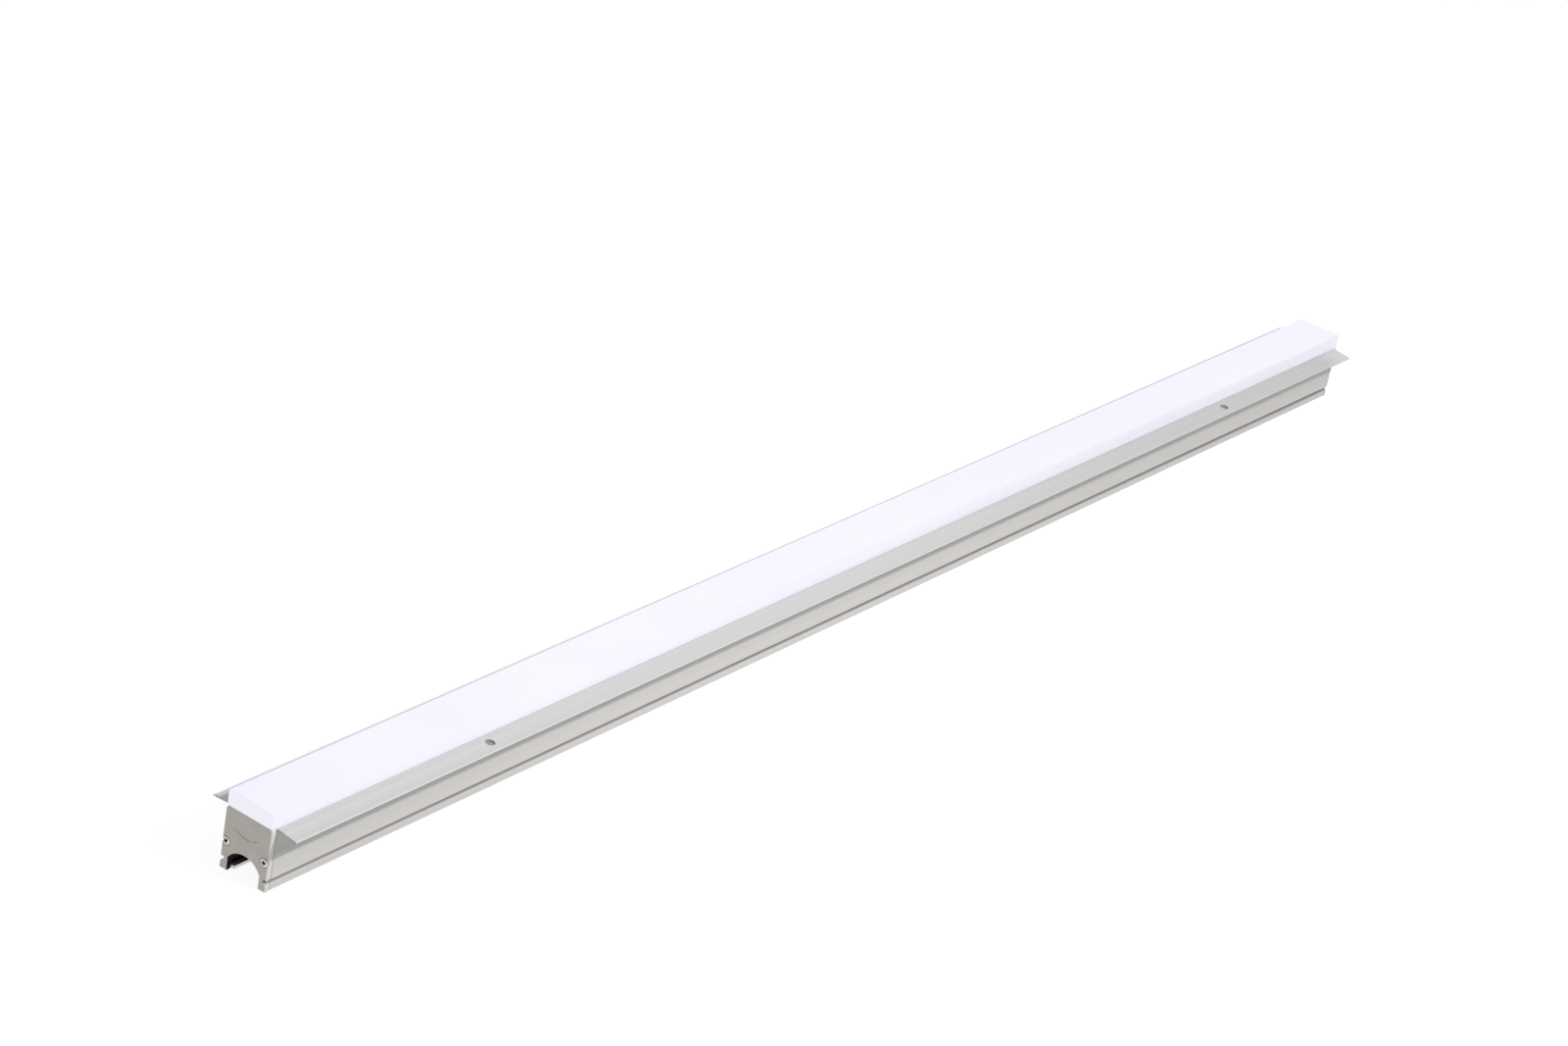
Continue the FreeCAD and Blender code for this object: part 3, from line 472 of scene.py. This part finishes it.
epoxy = Finish("black_epoxy")
sand = epoxy.place.noise(4200.0, 2.0)
tinned = 1 - epoxy.z.ramp(lead_top, lead_top + 0.00006)
black = sand.blend(colour(30, 30, 32), colour(44, 44, 46))
black = tinned.blend(black, colour(190, 191, 190))
epoxy.paint(black, 0.55 + 0.15 * sand - 0.25 * tinned, sand, 0.00002)
epoxy.coat("current_regulators", "setting_resistors", "surge_diode")

# --- Cable grommets ----------------------------------------------------------------------------
# Black rubber rings, snapped into the two holes in the ceiling of the wiring channel. The supply
# cables come up through them.

soft_black = Finish("black_grommet_rubber")
skin = soft_black.place.noise(1500.0, 4.0)
chalk = soft_black.place.noise(220.0, 2.0)
soot = chalk.ramp(0.4, 0.8).blend(colour(34, 34, 34), colour(52, 52, 51))
soft_black.paint(soot, 0.6 + 0.2 * skin, skin, 0.00004)
soft_black.coat("left_cable_grommet", "right_cable_grommet")

# --- Cover seals -------------------------------------------------------------------------------
# A strip of clear-white silicone in the groove of each shoulder, under the edge of the cover.

silicone = Finish("seal_silicone")
cure = silicone.place.stretched(200, 1200, 1200).noise(1.0, 2.0)
silicone.paint(cure.blend(colour(208, 210, 212), colour(222, 224, 226)), 0.4 + 0.1 * cure)
silicone.coat("near_cover_seal", "far_cover_seal")

# --- Cover -------------------------------------------------------------------------------------
# A trough of opal acrylic, extruded in one length with a snap leg down each side. Its outer edges
# are rounded by the die. It is unlit; a painted glow stands in for the light that goes through it,
# with painted shade on its sides and rounded edges and painted light on its ends.


def extruded(name, section, start, end):
    """Draw a section across the light by its corners, close it and extrude it along the light."""
    piece = from_corners(name, [(start, y, z) for y, z in (*section, section[0])])
    bpy.ops.mesh.remove_doubles(threshold=0.000002)
    bpy.ops.mesh.edge_face_add()
    bpy.ops.mesh.extrude_region_move(TRANSFORM_OT_translate={"value": (end - start, 0, 0)})
    settle(piece)
    return piece


def pick_edges(piece, wanted):
    """Select the edges whose middle passes a test, and go to edit mode."""
    bpy.ops.object.mode_set(mode="EDIT")
    bpy.ops.mesh.select_mode(type="EDGE")
    bpy.ops.mesh.select_all(action="DESELECT")
    bpy.ops.object.mode_set(mode="OBJECT")
    for edge in piece.data.edges:
        start, end = (piece.data.vertices[number].co for number in edge.vertices)
        edge.select = wanted(*(start + end) / 2)
    bpy.ops.object.mode_set(mode="EDIT")


def bevel(width, segments):
    bpy.ops.mesh.bevel(offset=width, segments=segments, profile=0.5, affect="EDGES")


def mirrored(half):
    return (*half, *((-y, z) for y, z in reversed(half)))


shoulder, crown, side_face, inner_face = 0.0345, 0.0435, 0.0148, 0.0111
trough_end, leg_end, plate_face = 0.498, 0.4954, 0.5
rounding, lower_rounding, face_rounding = 0.0012, 0.0002, 0.0005
nearly = 0.0001
trough = extruded("opal_cover", mirrored((
    (0.0128, crown - 0.002), (0.0128, 0.0382), (inner_face, 0.0365), (inner_face, shoulder),
    (side_face, shoulder), (side_face, crown))), -trough_end, trough_end)
pick_edges(trough, lambda x, y, z: abs(y) > side_face - nearly and z > crown - nearly)
bevel(rounding, 6)
settle(trough)
pick_edges(trough, lambda x, y, z: abs(y) > side_face - nearly and z < shoulder + nearly)
bevel(lower_rounding, 2)
settle(trough)
legs = []
for side in (-1, 1):
    leg = [(inner_face, shoulder), (inner_face, 0.02835), (0.0124, 0.02835), (0.0130, 0.02935),
           (0.0130, 0.02985), (0.0124, 0.02985), (0.0124, shoulder)]
    legs.append(extruded("leg", [(y * side, z) for y, z in leg], -leg_end, leg_end))
bpy.ops.object.select_all(action="DESELECT")
for item in (*legs, trough):
    item.select_set(True)
bpy.context.view_layer.objects.active = trough
bpy.ops.object.join()

# The cover's glow is painted: an emission that stands in for the light that goes through it.
opal = Finish("opal_acrylic", Emission_Strength=0.74)
haze = opal.place.noise(9.0, 2.0)
drawn = opal.place.stretched(2, 700, 700).noise(1.0, 2.0)
milk = haze.ramp(0.3, 0.7).blend((0.185, 0.184, 0.21, 1), (0.205, 0.202, 0.23, 1))
opal.paint(milk, 0.42 + 0.08 * drawn, drawn, 0.00001)
# Painted glow tones: bluer in bands along the length and at the far left corner, warmer at the
# right end.
cooler = 0.5 * opal.x.ramp(0.02, 0.15) * (1 - opal.x.ramp(0.30, 0.40))
cooler = 0.3 * (1 - opal.x.ramp(-0.36, -0.16)) + cooler
far_corner = (1 - opal.x.ramp(-0.50, -0.45)) * opal.y.ramp(-0.01, 0.014) * 0.6
right_end_light = opal.x.ramp(0.42, 0.50)
# Painted shade on the glow: dimmer on the side walls, more so low down and to the right, and on the
# rounded edges; painted light: brightest on the end faces.
side_wall = abs(opal.normal.axis("Y")).ramp(0.75, 0.95)
low_down = 1 - opal.z.ramp(0.0350, 0.0385)
side_shade = side_wall * (0.12 + 0.85 * opal.x.ramp(-0.25, 0.30) + 0.25 * low_down)
end_face = abs(opal.normal.axis("X")).ramp(0.2, 0.8)
on_rounding = abs(opal.normal.axis("Y")).ramp(0.05, 0.60) * opal.normal.axis("Z").ramp(0.05, 0.60)
painted_glow = (cooler + far_corner).blend((0.905, 0.900, 1.0, 1), (0.855, 0.845, 0.975, 1))
painted_glow = right_end_light.blend(painted_glow, (0.925, 0.905, 0.960, 1))
painted_glow = (on_rounding * 0.8).blend(painted_glow, (0.80, 0.79, 0.90, 1))
painted_glow = side_shade.blend(painted_glow, (0.785, 0.770, 0.840, 1))
opal.feed("Emission Color", end_face.blend(painted_glow, (0.925, 0.908, 0.980, 1)))
hand_over(trough, opal, "milky_cover", "diffuser_cover")

# --- Cover ends --------------------------------------------------------------------------------
# A plate of the same acrylic, solvent-welded on each end of the trough and polished flush with it.

for name, side in (("left", -1), ("right", 1)):
    plate = extruded(f"{name}_opal_end", (
        (-side_face, shoulder), (side_face, shoulder), (side_face, crown), (-side_face, crown)),
        trough_end * side, plate_face * side)
    pick_edges(plate, lambda x, y, z: abs(y) > side_face - nearly and z > crown - nearly)
    bevel(rounding, 6)
    settle(plate)
    pick_edges(plate, lambda x, y, z: abs(x) > plate_face - nearly)
    bevel(face_rounding, 3)
    settle(plate)
    hand_over(plate, opal, "milky_cover", f"{name}_cover_end")

# --- Floor, light and camera -------------------------------------------------------------------
# White backlit paper under the light, a small lamp high on the near side and a room that is
# brighter overhead. The camera sees the room as plain white.

bpy.ops.object.select_all(action="DESELECT")
bpy.ops.mesh.primitive_plane_add(size=16, location=(0, 0, 0))
floor = bpy.context.object
floor.name = "floor"
paper = Finish("backlit_paper", Emission_Color=(1.0, 1.0, 1.0, 1), Emission_Strength=0.93)
fibre = paper.place.noise(300.0, 2.0)
paper.paint(fibre.blend((0.06, 0.06, 0.06, 1), (0.08, 0.08, 0.08, 1)), 0.85 + 0.1 * fibre)
floor.data.materials.append(paper.material)

bpy.context.scene.view_settings.view_transform = "Standard"
world = bpy.data.worlds.new("room")
world.use_nodes = True
bpy.context.scene.world = world
room = world.node_tree.nodes
skyward = Wire(room.new("ShaderNodeTexCoord").outputs["Generated"]).axis("Z")
seen = Wire(room.new("ShaderNodeLightPath").outputs["Is Camera Ray"])
brightness = (0.05 + 0.89 * skyward.math("MAXIMUM", 0)) * (1 - seen) + 0.97 * seen
world.node_tree.links.new(brightness.socket, room["Background"].inputs["Strength"])
room["Background"].inputs["Color"].default_value = (0.985, 0.98, 1.09, 1)

key_height, key_distance = math.radians(50), 1.6
key_place = (-0.14, -key_distance * math.cos(key_height), key_distance * math.sin(key_height))
bpy.ops.object.light_add(
    type="AREA", location=key_place, rotation=(math.pi / 2 - key_height, 0, 0))
key = bpy.context.object
key.name = "key_lamp"
key.data.size = 0.09
key.data.energy = 0.88 * math.pi ** 2 * key_distance ** 2

turn, height, roll = math.radians(-57.155), math.radians(25.889), math.radians(10.736)
target, distance = Vector((0.033996, 0.080249, 0)), 2.42766
back = Vector((
    math.sin(turn) * math.cos(height), -math.cos(turn) * math.cos(height), math.sin(height)))
bpy.ops.object.camera_add()
camera = bpy.context.object
camera.matrix_world = (
    Matrix.Translation(target + back * distance)
    @ Matrix.Rotation(turn, 4, "Z")
    @ Matrix.Rotation(math.pi / 2 - height, 4, "X")
    @ Matrix.Rotation(roll, 4, "Z"))
camera.data.lens = 95.71
camera.data.sensor_width = 36
camera.data.clip_end = 50
bpy.context.scene.camera = camera
